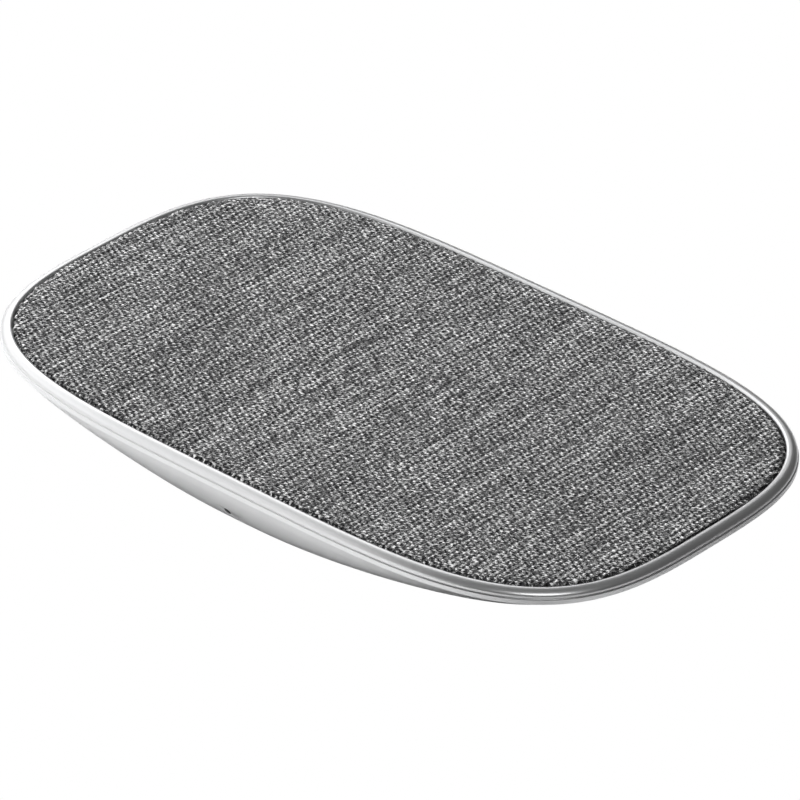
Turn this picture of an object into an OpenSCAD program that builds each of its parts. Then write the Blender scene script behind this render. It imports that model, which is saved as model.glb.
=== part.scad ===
// Wireless charging pad: a satin aluminium tray with a rounded bead, a cloth-covered top plate,
// and the charging coil and its electronics between them. The origin is the bottom centre.
// The long axis is X, the status light is at the front (-Y) and the power inlet at the back (+Y).

/* [Outline] */
// Overall length of the tray
length = 150; // [148:1:156]
// Overall width of the tray
width = 89.3; // [88.9:0.1:93]
// Squareness of the short ends; 2 is an ellipse and larger is squarer
end_squareness = 4.04; // [3.6:0.02:4.4]
// Squareness of the long sides
side_squareness = 3.24; // [3:0.02:3.6]
// Points around the outline, a multiple of four
outline_points = 96; // [64:4:112]

/* [Tray] */
// How far the rubber pad stands proud of the metal underside
foot_height = 0.5; // [0.3:0.1:0.8]
// Height of the sloping hull
hull_height = 7.55; // [7.4:0.05:8]
// Height of the upright band under the bead
band_height = 0.95; // [0.85:0.05:1.2]
// Height of the rounded bead
bead_height = 1.45; // [1.4:0.05:1.6]
// Width of the rounded bead
bead_width = 2.3; // [2.1:0.1:2.4]
// How far each end of the hull slopes in
end_slope = 22.9; // [20:0.1:23.4]
// How far each long side of the hull slopes in
side_slope = 3.75; // [3.2:0.05:3.9]
// Bulge of the sloping hull; 1 is straight
hull_bulge = 1.2; // [1.1:0.05:1.3]
// Squareness of the underside's outline
base_squareness = 2.54; // [2.5:0.02:2.8]

/* [Top] */
// Thickness of the cloth
cloth_thickness = 0.6; // [0.4:0.1:0.7]
// How far the cloth stands above the bead
cloth_proud = 0.15; // [0.1:0.05:0.3]
// Gap between the cloth's edge and the bead
cloth_gap = 0.15; // [0.1:0.05:0.2]
// Thickness of the top plate
plate_thickness = 1.3; // [1.2:0.05:1.4]

/* [Coil] */
// Radius of the innermost turn
coil_inner_r = 10.7; // [10.5:0.1:11]
// Turns of wire
coil_turns = 12; // [8:1:12]
// Diameter of the wire
coil_wire_d = 1.2; // [1:0.05:1.2]
// Radius of the ferrite disc
ferrite_r = 26.5; // [26:0.1:27]

/* [Hidden] */
$fn = 48;
eps = 0.01;

// Colours
aluminium = [0.80, 0.81, 0.82];
cloth_grey = [0.47, 0.47, 0.48];
rubber_grey = [0.20, 0.20, 0.21];
plastic_black = [0.12, 0.12, 0.13];
board_green = [0.05, 0.30, 0.20];
steel = [0.62, 0.63, 0.65];
copper = [0.80, 0.45, 0.22];
chip_black = [0.10, 0.10, 0.11];
ceramic_tan = [0.62, 0.50, 0.36];

// Half sizes of the outline, and of the underside
half_l = length / 2;
half_w = width / 2;
base_half_l = half_l - end_slope;
base_half_w = half_w - side_slope;

// Levels of the tray, counted from the surface that the pad lies on
base_z = foot_height;
band_z = base_z + hull_height;
crease_z = band_z + band_height;
lip_z = crease_z + bead_height;
recess_depth = 0.6;
recess_z = base_z + recess_depth;
recess_margin = 4;
floor_thickness = 0.8;
floor_z = recess_z + floor_thickness;

// Levels of the top, from the cloth down to the ledge that the plate rests on
cloth_top_z = lip_z + cloth_proud;
glue_thickness = 0.1;
plate_top_z = cloth_top_z - cloth_thickness - glue_thickness;
ledge_z = plate_top_z - plate_thickness;
ledge_inset = 4.4;
cloth_inset = bead_width + cloth_gap;
plate_inset = cloth_inset + cloth_thickness + 0.05;

// The cavity: a straight-sided bowl from the ledge down to the floor
cavity_top = [half_l - ledge_inset, half_w - ledge_inset];
cavity_floor = [half_l - ledge_inset - 17.7, half_w - ledge_inset - 0.6];
cavity_floor_squareness = [2.96, 2.73];

// Screws that hold the plate down, and their bosses
base_screw_x = 36;
base_screw_y = 24;
boss_r = 2.6;
boss_foot_r = 3.2;
boss_z = 3.4;
base_screw_head_z = floor_z + 0.5;

// Main board
board_z = 3;
board_thickness = 1;
board_top_z = board_z + board_thickness;
board_half_l = 26;
board_front_y = -6;
board_back_y = 26.5;
neck_half_l = 8;
neck_end_y = half_w - ledge_inset - 0.8;
board_screw_x = 23;
board_screw_ys = [-3, 23.5];

// Power inlet
inlet_w = 8.94;
inlet_h = 3.26;
inlet_length = 7.35;
inlet_wall = 0.3;
inlet_z = 5;
inlet_mouth_y = half_w - 2.1;
inlet_back_y = inlet_mouth_y - inlet_length;

// Status light
light_x = -1;
light_z = 2.5;
light_r = 0.72;
light_bore_r = 0.75;
light_in_y = ledge_inset + 1.05 - half_w;
light_out_y = 2.9 - half_w;
led_depth = 0.7;
led_board_y = light_in_y + 0.3 + led_depth;
led_board_thickness = 0.8;
led_board_half_l = 5;
led_board_z = floor_z + 0.05;
led_board_h = 3;

// Coil stack, from the shield up
shield_thickness = 0.2;
tray_floor = 0.5;
ferrite_thickness = 0.65;
tape_thickness = 0.1;
coil_top_z = ledge_z - 0.1;
tape_z = coil_top_z - coil_wire_d - tape_thickness;
ferrite_z = tape_z - ferrite_thickness;
tray_z = ferrite_z - tray_floor;
shield_z = tray_z - shield_thickness;
tray_r = 28.4;
tray_rim = 1.2;
tray_ear_r = 3.6;
tray_screw_radius = 31;
coil_z = tape_z + tape_thickness + coil_wire_d / 2;
coil_pitch = coil_wire_d - 0.04;
coil_outer_r = coil_inner_r + (coil_turns - 1) * coil_pitch;
sensor_hole_r = 2.2;
lead_x = 3;
lead_r = 0.3;
lead_pad_y = 30.4;

// A point of the rounded outline with half sizes a and b, moved in by d along its normal
function power(v, e) = sign(v) * pow(abs(v), e);
function slope_at(v, a, e) = e * power(v / a, e - 1) / a;
function outline_point(t, a, b, p, q, d) =
    let (
        x = a * power(cos(t), 2 / p),
        y = b * power(sin(t), 2 / q),
        nx = slope_at(x, a, p),
        ny = slope_at(y, b, q),
        n = norm([nx, ny])
    )
    [x - d * nx / n, y - d * ny / n];
function outline(a, b, p, q, d = 0) =
    [for (i = [0 : outline_points - 1]) outline_point((i + 0.5) * 360 / outline_points, a, b, p, q, d)];
function rim_outline(d) = outline(half_l, half_w, end_squareness, side_squareness, d);
function base_outline(d) = outline(base_half_l, base_half_w, base_squareness, base_squareness, d);

// A ring is an outline at a height
function ring(points, z) = [for (v = points) [v[0], v[1], z]];
function mix(a, b, u) = a + (b - a) * u;

// The sloping hull: angle 0 is under the band and angle 90 is the edge of the underside
function hull_ring(angle) =
    let (
        inwards = 1 - pow(cos(angle), 2 / hull_bulge),
        down = pow(sin(angle), 2 / hull_bulge),
        p = mix(end_squareness, base_squareness, inwards),
        q = mix(side_squareness, base_squareness, inwards)
    )
    ring(outline(half_l - end_slope * inwards, half_w - side_slope * inwards, p, q), band_z - hull_height * down);
function bead_ring(angle) = ring(rim_outline(bead_width * (1 - cos(angle))), lip_z - bead_height * (1 - sin(angle)));
function cavity_ring(u) =
    let (
        a = mix(cavity_top[0], cavity_floor[0], u),
        b = mix(cavity_top[1], cavity_floor[1], u),
        p = mix(end_squareness, cavity_floor_squareness[0], u),
        q = mix(side_squareness, cavity_floor_squareness[1], u)
    )
    ring(outline(a, b, p, q), mix(ledge_z, floor_z, u));

// A closed solid through a list of rings, with a flat cap on the first and on the last
module loft(rings) {
    n = len(rings[0]);
    last = len(rings) - 1;
    sides = [
        for (k = [0 : last - 1], i = [0 : n - 1], half = [0, 1])
            let (a = k * n + i, b = k * n + (i + 1) % n)
            half == 0 ? [a, a + n, b + n] : [a, b + n, b]
    ];
    first_cap = [for (i = [0 : n - 1]) i];
    last_cap = [for (i = [n - 1 : -1 : 0]) last * n + i];
    polyhedron(points = [for (r = rings, v = r) v], faces = concat(sides, [first_cap, last_cap]), convexity = 8);
}

// A flat slab of an outline
module slab(points, z, thickness) {
    translate([0, 0, z])
        linear_extrude(thickness)
            polygon(points);
}

// A slot shape with round ends, standing in the XZ plane and running along +Y
module inlet_shape(w, h, y, run) {
    translate([0, y + run, inlet_z])
        rotate([90, 0, 0])
            linear_extrude(run) {
                square([w - h, h], center = true);
                for (side = [-1, 1])
                    translate([side * (w - h) / 2, 0])
                        circle(d = h);
            }
}

module block(x, y, z, size) {
    translate([x - size[0] / 2, y - size[1] / 2, z])
        cube(size);
}

module post(x, y, z, r, h) {
    translate([x, y, z])
        cylinder(r = r, h = h);
}

module at_corners(x, y) {
    for (sx = [-1, 1], sy = [-1, 1])
        translate([sx * x, sy * y, 0])
            children();
}

module at_board_screws() {
    for (sx = [-1, 1], y = board_screw_ys)
        translate([sx * board_screw_x, y, 0])
            children();
}

module at_tray_screws() {
    for (angle = [30, 150, 270])
        rotate([0, 0, angle])
            translate([tray_screw_radius, 0, 0])
                children();
}

// A wire through a list of points, with round elbows
module wire(points, r) {
    for (i = [0 : len(points) - 2]) {
        step = points[i + 1] - points[i];
        run = norm(step);
        translate(points[i])
            rotate([0, acos(step[2] / run), atan2(step[1], step[0])])
                cylinder(r = r, h = run, $fn = 16);
    }
    for (i = [1 : len(points) - 2])
        translate(points[i])
            sphere(r = r + 0.03, $fn = 16);
}

module screw(head_r, head_z, head_h, shank_r, tip_z, head_up) {
    driver_z = head_up ? head_z + head_h / 2 : head_z - eps;
    difference() {
        union() {
            translate([0, 0, head_z])
                cylinder(r = head_r, h = head_h);
            translate([0, 0, head_up ? tip_z : head_z + head_h])
                cylinder(r = shank_r, h = head_up ? head_z - tip_z : tip_z - head_z - head_h);
        }
        translate([0, 0, driver_z])
            cylinder(r = head_r / 2, h = head_h / 2 + eps, $fn = 6);
    }
}

module shell_body() {
    hull_steps = 8;
    bead_steps = 5;
    cavity_steps = 3;
    loft(concat(
        [ring(base_outline(recess_margin), recess_z)],
        [ring(base_outline(recess_margin), base_z)],
        [for (i = [hull_steps : -1 : 0]) hull_ring(90 * i / hull_steps)],
        [for (i = [0 : bead_steps]) bead_ring(90 * i / bead_steps)],
        [ring(rim_outline(bead_width), ledge_z)],
        [for (i = [0 : cavity_steps]) cavity_ring(i / cavity_steps)]
    ));
}

// Two slotted ribs that the status light's board stands in
module led_board_ribs() {
    for (x = [light_x + 0.8 - led_board_half_l, light_x - 0.8 + led_board_half_l])
        difference() {
            block(x, led_board_y + 0.4, floor_z - 0.3, [1.4, 3, 1.8]);
            block(x, led_board_y + 0.4, floor_z, [2, 0.9, 4]);
        }
}

module metal_shell() {
    color(aluminium)
        difference() {
            union() {
                shell_body();
                at_corners(base_screw_x, base_screw_y)
                    post(0, 0, floor_z - 0.4, boss_foot_r, boss_z - floor_z + 0.4);
                at_board_screws()
                    post(0, 0, floor_z - 0.4, 2.2, board_z - floor_z + 0.4);
                led_board_ribs();
            }
            at_corners(base_screw_x, base_screw_y) {
                post(0, 0, recess_z - 1, 2.1, base_screw_head_z - recess_z + 1);
                post(0, 0, recess_z, 1.1, boss_z);
            }
            at_board_screws()
                post(0, 0, floor_z, 0.72, 2);
            translate([light_x, led_board_y - 0.4, light_z])
                rotate([90, 0, 0])
                    cylinder(r = light_bore_r, h = ledge_inset + 3);
            inlet_shape(inlet_w + 0.56, inlet_h + 0.54, half_w - ledge_inset - 2, ledge_inset + 3);
        }
}

module fabric_cover() {
    // The cloth's rolled edge: how far in, and how far below the top
    roll = [[0, 0.85], [0.1, 0.45], [0.35, 0.18], [0.85, 0.05], [1.75, 0]];
    bottom_z = ledge_z + 0.1;
    inner_inset = plate_inset - 0.05;
    color(cloth_grey)
        loft(concat(
            [ring(rim_outline(inner_inset), plate_top_z + glue_thickness)],
            [ring(rim_outline(inner_inset), bottom_z)],
            [ring(rim_outline(cloth_inset), bottom_z)],
            [for (v = roll) ring(rim_outline(cloth_inset + v[0]), cloth_top_z - v[1])]
        ));
}

module fabric_adhesive() {
    color("ivory")
        slab(rim_outline(plate_inset), plate_top_z, glue_thickness);
}

module top_plate() {
    color(plastic_black)
        difference() {
            union() {
                slab(rim_outline(plate_inset), ledge_z, plate_thickness);
                at_corners(base_screw_x, base_screw_y)
                    post(0, 0, boss_z, boss_r, ledge_z - boss_z + eps);
                at_tray_screws()
                    post(0, 0, tray_z + tray_floor, 2, ledge_z - tray_z - tray_floor + eps);
            }
            at_corners(base_screw_x, base_screw_y)
                post(0, 0, boss_z - 1, 1.02, 5.2);
            at_tray_screws()
                post(0, 0, tray_z, 0.72, 2.1);
        }
}

module base_pad() {
    color(rubber_grey)
        slab(base_outline(recess_margin + 0.1), 0, recess_z - glue_thickness);
}

module base_adhesive() {
    color("ivory")
        slab(base_outline(recess_margin + 0.4), recess_z - glue_thickness, glue_thickness - eps);
}

module base_screws() {
    color(steel)
        at_corners(base_screw_x, base_screw_y)
            screw(2, recess_z + 0.05, 1.2, 1, boss_z + 3.6, false);
}

module light_pipe() {
    flange = 0.4;
    color("dimgray") {
        translate([light_x, light_in_y, light_z])
            rotate([90, 0, 0])
                cylinder(r = light_r, h = light_in_y - light_out_y);
        block(light_x, light_in_y - flange / 2, floor_z + 0.05, [2.2, flange, 1.6]);
    }
}

module led_board() {
    color(board_green)
        translate([light_x - led_board_half_l, led_board_y, led_board_z])
            cube([2 * led_board_half_l, led_board_thickness, led_board_h]);
}

module status_led() {
    color("white")
        block(light_x, led_board_y - led_depth / 2, light_z - 0.5, [1.6, led_depth, 1]);
}

module led_leads() {
    t = 0.6;
    back_y = led_board_y + led_board_thickness;
    pad_z = led_board_z + led_board_h - 1;
    run_z = floor_z + 0.3;
    color("firebrick")
        for (x = [light_x - 1.2, light_x, light_x + 1.2]) {
            translate([x - t / 2, back_y, pad_z])
                cube([t, 1 + t, t]);
            translate([x - t / 2, back_y + 1, run_z])
                cube([t, t, pad_z + t - run_z]);
            translate([x - t / 2, back_y + 1, run_z])
                cube([t, board_front_y - 0.4 - back_y - 1, t]);
            translate([x - t / 2, board_front_y - 0.4 - t, run_z])
                cube([t, t, board_top_z + t - run_z]);
            translate([x - t / 2, board_front_y - 0.4 - t, board_top_z])
                cube([t, 2, t]);
        }
}

module main_board() {
    color(board_green)
        difference() {
            union() {
                translate([-board_half_l, board_front_y, board_z])
                    cube([2 * board_half_l, board_back_y - board_front_y, board_thickness]);
                translate([-neck_half_l, board_back_y - 1, board_z])
                    cube([2 * neck_half_l, neck_end_y - board_back_y + 1, board_thickness]);
            }
            block(0, inlet_back_y + 5, board_z - 1, [inlet_w + 0.16, 10.2, 3]);
            at_board_screws()
                post(0, 0, board_z - 1, 0.85, 3);
        }
}

module board_screws() {
    color(steel)
        at_board_screws()
            screw(1.6, board_top_z, 0.9, 0.7, floor_z + 0.1, true);
}

module controller_chip() {
    color(chip_black)
        block(-6, 10, board_top_z, [7, 7, 0.9]);
}

module power_mosfets() {
    color(chip_black)
        for (x = [11.5, 16.5], y = [2, 7])
            block(x, y, board_top_z, [3.3, 3.3, 0.85]);
}

module resonant_capacitors() {
    color(ceramic_tan)
        for (i = [0 : 3])
            block(-18, 2 + 4.2 * i, board_top_z, [3.2, 2.5, 1.4]);
}

module power_inductor() {
    color("dimgray")
        block(14, 17, board_top_z, [5, 5, 1.5]);
}

module input_capacitors() {
    color(ceramic_tan)
        for (i = [0 : 5])
            block(-7.5 + 3 * i, 22.5, board_top_z, [2, 1.25, 0.95]);
}

module chip_resistors() {
    color(chip_black)
        for (i = [0 : 7])
            block(-14 + 2.4 * i, -2.6, board_top_z, [1.6, 0.8, 0.45]);
}

module crystal() {
    color("silver")
        block(-12.6, 17.5, board_top_z, [3.2, 2.5, 0.7]);
}

module usb_shell() {
    back_wall = 0.3;
    color(steel) {
        difference() {
            inlet_shape(inlet_w, inlet_h, inlet_back_y, inlet_length);
            inlet_shape(
                inlet_w - 2 * inlet_wall, inlet_h - 2 * inlet_wall, inlet_back_y + back_wall, inlet_length
            );
        }
        for (sx = [-1, 1], y = [inlet_back_y + 1, inlet_back_y + 3])
            block(sx * (inlet_w / 2 + 0.18), y, board_top_z, [1.3, 0.9, 0.25]);
    }
}

module usb_tongue() {
    back = 0.3;
    root = 1.6;
    color(plastic_black) {
        inlet_shape(
            inlet_w - 2 * inlet_wall - 0.02, inlet_h - 2 * inlet_wall - 0.02, inlet_back_y + back, root
        );
        block(0, inlet_back_y + back + root + 2.2 - eps, inlet_z - 0.35, [6.69, 4.4, 0.7]);
    }
}

module usb_contacts() {
    color("gold")
        for (i = [0 : 11], side = [-1, 1])
            block(
                -2.75 + 0.5 * i, inlet_back_y + 4.1, inlet_z + side * 0.38 - 0.03, [0.25, 3.4, 0.06]
            );
}

module charging_coil() {
    color(copper)
        translate([0, 0, coil_z])
            rotate_extrude($fn = 96)
                for (i = [0 : coil_turns - 1])
                    translate([coil_inner_r + i * coil_pitch, 0])
                        circle(d = coil_wire_d, $fn = 24);
}

module disc_ring(outer_r, inner_r, z, thickness) {
    translate([0, 0, z])
        difference() {
            cylinder(r = outer_r, h = thickness, $fn = 96);
            translate([0, 0, -1])
                cylinder(r = inner_r, h = thickness + 2);
        }
}

module coil_tape() {
    color("ivory")
        disc_ring(coil_outer_r, coil_inner_r, tape_z, tape_thickness - eps);
}

module ferrite_disc() {
    color([0.25, 0.25, 0.26])
        difference() {
            disc_ring(ferrite_r, sensor_hole_r, ferrite_z, ferrite_thickness);
            // Slot for the coil's inner end
            translate([lead_x - 0.5, coil_inner_r - 2.2, ferrite_z - 1])
                cube([1, ferrite_r, 3]);
        }
}

module coil_tray() {
    rim_top_z = ledge_z - 0.15;
    color(plastic_black)
        difference() {
            union() {
                disc_ring(tray_r, sensor_hole_r, tray_z, tray_floor);
                disc_ring(tray_r, tray_r - tray_rim, tray_z, rim_top_z - tray_z);
                at_tray_screws()
                    post(0, 0, tray_z, tray_ear_r, tray_floor);
            }
            at_tray_screws()
                post(0, 0, tray_z - 1, 0.85, 3);
            // Gap in the rim for the coil's ends
            translate([-lead_x - 1.5, tray_r - 3, tray_z + tray_floor])
                cube([2 * lead_x + 3, 5, 4]);
        }
}

module tray_screws() {
    color(steel)
        at_tray_screws()
            screw(1.4, tray_z - 0.7, 0.7, 0.7, tray_z + 2, false);
}

module shield_plate() {
    color("silver")
        disc_ring(ferrite_r + 0.5, sensor_hole_r, shield_z, shield_thickness - eps);
}

module coil_leads() {
    slot_z = ferrite_z + 0.35;
    inner_y = coil_inner_r - 1.4;
    outer_y = coil_outer_r + 0.75;
    color(copper) {
        wire([
            [lead_x, inner_y, coil_z],
            [lead_x, inner_y, slot_z],
            [lead_x, lead_pad_y, slot_z],
            [lead_x, lead_pad_y, board_top_z + lead_r + 0.05],
            [lead_x, lead_pad_y + 1.5, board_top_z + lead_r + 0.05]
        ], lead_r);
        wire([
            [-lead_x, outer_y, coil_z],
            [-lead_x, lead_pad_y, coil_z],
            [-lead_x, lead_pad_y, board_top_z + lead_r + 0.05],
            [-lead_x, lead_pad_y + 1.5, board_top_z + lead_r + 0.05]
        ], lead_r);
    }
}

module thermistor() {
    bead_z = ledge_z - 1.3;
    color("black") {
        post(0, 0, bead_z, 0.9, 1.25);
        for (x = [-0.45, 0.45])
            post(x, 0, board_top_z, 0.2, bead_z - board_top_z + eps);
    }
}

module thermal_pad() {
    color("lightblue")
        block(14, 4.5, floor_z, [12, 11, board_z - floor_z]);
}

metal_shell();
fabric_cover();
fabric_adhesive();
top_plate();
base_pad();
base_adhesive();
base_screws();
light_pipe();
led_board();
status_led();
led_leads();
main_board();
board_screws();
controller_chip();
power_mosfets();
resonant_capacitors();
power_inductor();
input_capacitors();
chip_resistors();
crystal();
usb_shell();
usb_tongue();
usb_contacts();
charging_coil();
coil_tape();
ferrite_disc();
coil_tray();
tray_screws();
shield_plate();
coil_leads();
thermistor();
thermal_pad();
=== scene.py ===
"""Wireless charging pad: a satin aluminium tray, a cloth-covered top and the charging parts inside."""

import math

import bmesh
import bpy
import numpy as np
from bpy.props import FloatProperty, FloatVectorProperty, IntProperty, PointerProperty
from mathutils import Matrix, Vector


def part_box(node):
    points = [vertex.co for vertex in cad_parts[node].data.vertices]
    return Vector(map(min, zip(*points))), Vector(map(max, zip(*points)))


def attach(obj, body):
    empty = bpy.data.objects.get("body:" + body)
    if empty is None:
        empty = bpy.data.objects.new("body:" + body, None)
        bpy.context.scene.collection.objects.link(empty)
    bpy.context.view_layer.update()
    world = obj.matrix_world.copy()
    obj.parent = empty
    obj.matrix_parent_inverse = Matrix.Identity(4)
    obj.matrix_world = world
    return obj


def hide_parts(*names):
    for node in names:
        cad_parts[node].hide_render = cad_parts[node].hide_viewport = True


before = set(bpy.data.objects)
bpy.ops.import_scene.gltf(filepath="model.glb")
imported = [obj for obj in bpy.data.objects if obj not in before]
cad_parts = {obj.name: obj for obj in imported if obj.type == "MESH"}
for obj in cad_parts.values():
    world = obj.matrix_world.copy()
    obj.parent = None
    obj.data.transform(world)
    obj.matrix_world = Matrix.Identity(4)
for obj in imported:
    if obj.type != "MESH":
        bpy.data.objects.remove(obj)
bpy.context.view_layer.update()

bl_info = {
    "name": "Charging Pad Looks",
    "version": (1, 0, 0),
    "blender": (4, 5, 0),
    "location": "3D View > Sidebar > Charging Pad",
    "description": "Builds the tray, the woven top, the foot and the finishes of a wireless charging pad",
    "category": "Object",
}

MM = 0.001
ROOT = "root"

# Places taken from the frame
SHELL_LOW, SHELL_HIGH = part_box("metal_shell")
CLOTH_LOW, CLOTH_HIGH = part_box("fabric_cover")
PAD_LOW, PAD_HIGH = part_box("base_pad")
PLATE_LOW, PLATE_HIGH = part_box("top_plate")
BOARD_LOW, BOARD_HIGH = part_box("main_board")
INLET_LOW, INLET_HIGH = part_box("usb_shell")
LIGHT_LOW, LIGHT_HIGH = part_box("light_pipe")
SCREWS_LOW, SCREWS_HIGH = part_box("base_screws")
FLOOR_LEVEL = PAD_LOW[2]
LIP_LEVEL = SHELL_HIGH[2]
UNDERSIDE_LEVEL = SHELL_LOW[2]
LIGHT_LEVEL = 2.5 * MM

# Sizes that follow the CAD and are not meant to be changed on their own
LEDGE_DROP = 1.3 * MM
CAVITY_END_SQUARENESS = 2.96
CAVITY_SIDE_SQUARENESS = 2.73
CAVITY_SIDE_SLOPE = 0.6 * MM
RECESS_EDGE = 0.1 * MM
POST_SINK = 0.1 * MM
PLATE_POST = (3.2 * MM, 1.1 * MM)
BOARD_POST = (2.2 * MM, 0.72 * MM)
PLATE_POST_MARGIN = 2 * MM
BOARD_POST_MARGIN = 3 * MM
BOARD_BACK_ROW = 23.5 * MM
INLET_HALF_WIDTH = 4.75 * MM
INLET_HALF_HEIGHT = 1.9 * MM
TRAY_SHARP_ANGLE = math.radians(11)
LENS_SHARE = 0.48

# Flecks of the cloth: their size across and along the fibres, and the size of the slower changes
FIBRE_LENGTH = 1.0 * MM
FIBRE_WIDTH = 0.26 * MM
FIBRE_DEPTH = 0.5 * MM
STITCH_SIZE = (0.9 * MM, 0.6 * MM, 4 * MM)
ROW_SIZE = (1.1 * MM, 28 * MM, 50 * MM)
PICK_SIZE = (30 * MM, 0.6 * MM, 50 * MM)
# Painted shade of the yarns: they darken below this depth under the cloth's top, over this height
PAINTED_SHADE_DEPTH = 0.24 * MM
PAINTED_SHADE_SPAN = 0.28 * MM
MELANGE_CONTRAST = 4.4
MELANGE_MIDDLE = 2.1
WEFT_FIBRE_TURN = math.radians(-40)
WARP_FIBRE_TURN = math.radians(-44)
WARP_LIFT = 0.09
SECTION_TURN = math.radians(90)

# Studio: name, place, width, height, watts, whether it lights matt surfaces, whether metal mirrors it
STUDIO_LIGHTS = (
    ("top_softbox", (-0.6, 0.0, 1.0), 1.3, 1.5, 21.0, True, False),
    ("top_sheen", (-0.6, 0.0, 1.0), 1.3, 1.5, 19.0, False, True),
    ("left_softbox", (-1.0, 0.0, 0.6), 1.9, 1.1, 9.0, True, True),
    ("front_softbox", (-0.55, -0.95, 0.3), 0.8, 0.55, 1.6, True, True),
    ("back_sheen", (-0.8, 0.8, 0.78), 1.1, 0.35, 1.5, False, True),
    ("right_sheen", (0.55, -0.5, 0.9), 0.5, 0.4, 2.2, False, True),
)
FLOOR_HALF = 4.0
FLOOR_GAP = 0.05 * MM
WORLD_STRENGTH = 0.12
# Painted shade of the floor along x + 0.35 y, which the metal mirrors as a darker surround
PAINTED_MIRROR_SHADES = ((0.15, 1.0), (0.42, 0.7), (0.60, 0.5), (0.78, 0.8), (0.92, 0.6), (1.0, 0.25))


def size(name, default, description, low=0.0):
    """A length in metres."""
    return FloatProperty(
        name=name,
        description=description,
        default=default,
        min=low,
        subtype="DISTANCE",
        unit="LENGTH",
        precision=5,
    )


def angle(name, default, description):
    return FloatProperty(
        name=name, description=description, default=default, subtype="ANGLE", unit="ROTATION"
    )


def colour(name, default, description):
    return FloatVectorProperty(
        name=name, description=description, default=default, min=0.0, max=1.0, size=3, subtype="COLOR"
    )


def number(name, default, description, low=0.0, high=1000.0):
    return FloatProperty(name=name, description=description, default=default, min=low, max=high)


class TraySizes(bpy.types.PropertyGroup):
    """Sizes of the metal tray"""

    end_squareness: number("End squareness", 4.04, "Exponent of the outline along the pad", 2.0, 8.0)
    side_squareness: number("Side squareness", 3.24, "Exponent of the outline across the pad", 2.0, 8.0)
    base_squareness: number("Base squareness", 2.54, "Exponent of the underside's outline", 2.0, 8.0)
    bead_width: size("Bead width", 2.3 * MM, "Width of the rounded bead")
    bead_height: size("Bead height", 1.45 * MM, "Height of the rounded bead")
    band_height: size("Band height", 0.95 * MM, "Height of the upright band under the bead")
    hull_bulge: number("Hull bulge", 1.2, "Roundness of the sloping hull", 1.0, 3.0)
    hull_crease: number("Hull crease", 0.2, "Straight share of the hull's height, at its top", 0.0, 0.5)
    end_slope: size("End slope", 22.9 * MM, "How far each end of the hull slopes in")
    side_slope: size("Side slope", 3.75 * MM, "How far each long side of the hull slopes in")
    groove_depth: size("Groove depth", 0.22 * MM, "Depth of the fine groove between band and bead")
    groove_low: size("Groove low side", 0.12 * MM, "How far the groove reaches down from its bottom")
    groove_high: size("Groove high side", 0.8 * MM, "How far the groove reaches up from its bottom")
    edge_round: size("Edge round", 0.5 * MM, "Radius of the bead's inner edge")
    wall_inset: size("Wall inset", 4.4 * MM, "How far in the ledge under the plate reaches")
    recess_margin: size("Recess margin", 4.0 * MM, "Metal left round the recess of the foot")
    recess_depth: size("Recess depth", 0.6 * MM, "Depth of the recess of the foot")
    floor_thickness: size("Floor thickness", 0.8 * MM, "Metal between the recess and the cavity")
    cavity_slope: size("Cavity slope", 17.7 * MM, "How far each end of the cavity slopes in")
    light_bore: size("Light bore", 1.5 * MM, "Diameter of the status light's hole")
    outline_points: IntProperty(
        name="Outline points", description="Points round the outline", default=384, min=96, max=768
    )


class ClothSizes(bpy.types.PropertyGroup):
    """Sizes of the woven cloth"""

    warp_pitch: size("Warp pitch", 1.16 * MM, "Distance between neighbouring yarns that run across the pad")
    weft_pitch: size("Weft pitch", 0.6 * MM, "Distance between neighbouring yarns that run along the pad")
    warp_fullness: number("Warp fullness", 0.84, "Width of a warp yarn as a share of its pitch", 0.1, 2.0)
    weft_fullness: number("Weft fullness", 1.1, "Width of a weft yarn as a share of its pitch", 0.1, 2.0)
    yarn_height: size("Yarn height", 0.36 * MM, "Height of a yarn")
    wave: size("Wave", 0.15 * MM, "How far a yarn rises and falls at each crossing")
    wander: size("Wander", 0.11 * MM, "How far a yarn strays sideways")
    slub: number("Slub", 0.45, "How much a yarn's thickness varies along it", 0.0, 1.0)
    roll: size("Roll", 0.8 * MM, "Radius of the cloth's rolled edge")
    hang: size("Hang", 0.3 * MM, "How far the yarns' ends hang below the rolled edge")
    last_crossing: size("Last crossing", 0.35 * MM, "How near the edge each yarn's last point is")
    rim_gap: size("Rim gap", 0.2 * MM, "Gap between the yarns' ends and the bead")
    seed: number("Seed", 7.0, "Seed of the yarns' wander and slubs")


class Finishes(bpy.types.PropertyGroup):
    """Colours of the main finishes"""

    metal: colour("Metal", (0.66, 0.663, 0.668), "Bead-blasted aluminium")
    yarn_light: colour("Light fibre", (0.68, 0.68, 0.68), "Lightest fibres of the melange")
    yarn_dark: colour("Dark fibre", (0.022, 0.022, 0.024), "Darkest fibres of the melange")
    rubber: colour("Rubber", (0.035, 0.035, 0.037), "Foot under the tray")
    floor: colour("Floor", (0.93, 0.93, 0.93), "Studio floor")


class StageSizes(bpy.types.PropertyGroup):
    """Camera and lights"""

    turn: angle("Turn", math.radians(42.50), "Camera's azimuth")
    tilt: angle("Tilt", math.radians(31.337), "Camera's elevation")
    lens: number("Lens", 346.9, "Focal length in millimetres on a 36 mm sensor", 1.0, 5000.0)
    distance: size("Distance", 1.3792, "Camera's distance from the middle of the bead's plane")
    aside: size("Aside", 0.001067, "Camera's shift to its right", -1.0)
    above: size("Above", -0.00305, "Camera's shift upwards", -1.0)


# ---------------------------------------------------------------- node trees


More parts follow.
